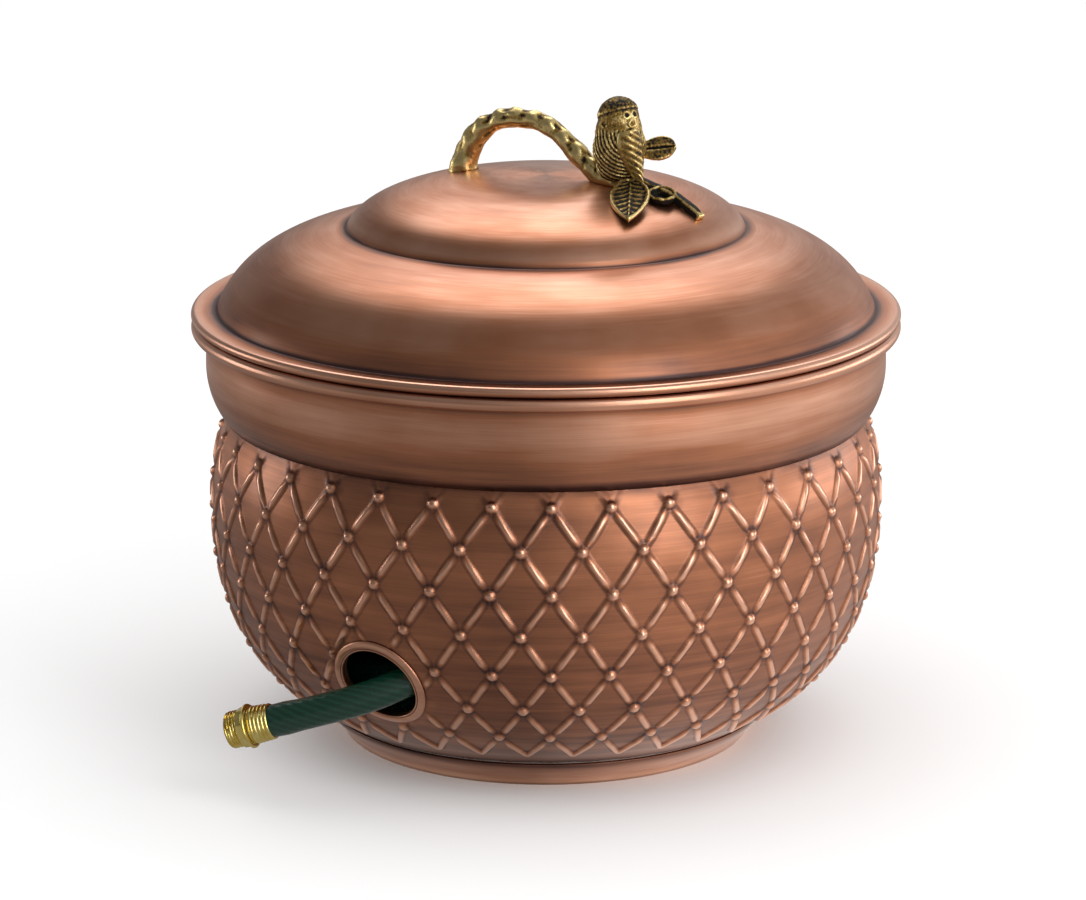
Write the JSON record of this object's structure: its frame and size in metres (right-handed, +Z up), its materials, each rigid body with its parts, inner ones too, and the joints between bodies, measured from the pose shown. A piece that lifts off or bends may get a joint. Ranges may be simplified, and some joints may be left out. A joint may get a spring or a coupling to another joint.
{
  "type": "covered garden hose pot",
  "caption": "Round covered metal pot that stores a coiled garden hose, with a lattice belly, side hose outlet, stepped domed lid and cast bird-and-branch handle.",
  "frame": {"origin": "on the floor at the centre of the foot ring", "axes": "+Z up; the hose outlet faces -Y; the lid's handle runs along X with the bird at +X"},
  "size_m": [0.524, 0.5535, 0.4845],
  "materials": {
    "copper_sheet": "antiqued, satin brushed",
    "cast_brass": "antiqued casting with black patina in the hollows",
    "machined_brass": "bright",
    "steel_fixings": "plain",
    "hose": "glossy ribbed vinyl",
    "washer_rubber": "matt"
  },
  "bodies": {
    "pot": {"belly": "copper_sheet", "collar": "copper_sheet", "foot_ring": "copper_sheet", "outlet_grommet": "copper_sheet", "hose_coil": "hose", "hose_outlet_run": "hose", "hose_inner_run": "hose", "hose_ferrule": "machined_brass", "hose_male_coupling": "machined_brass", "hose_inner_ferrule": "machined_brass", "hose_tail_spigot": "machined_brass", "hose_washer": "washer_rubber"},
    "lid": {"lid_shell": "copper_sheet", "lid_locating_ring": "copper_sheet", "handle_branch": "cast_brass", "handle_bird": "cast_brass", "leaf_front": "cast_brass", "leaf_rear": "cast_brass", "arch_screw": "steel_fixings", "arch_washer": "steel_fixings", "bird_screw": "steel_fixings", "bird_washer": "steel_fixings"},
    "hose_nut": {"hose_swivel_nut": "machined_brass"}
  },
  "joints": [
    {"name": "lid_lift", "type": "slide", "parent": "pot", "child": "lid", "axis": [0, 0, 1], "range_m": [0, 0.25]},
    {"name": "hose_nut_turn", "type": "hinge", "parent": "pot", "child": "hose_nut", "pos_m": [0.00813, 0.12224, 0.15564], "axis": [-0.9623, 0.2716, 0.0166], "continuous": true}
  ]
}
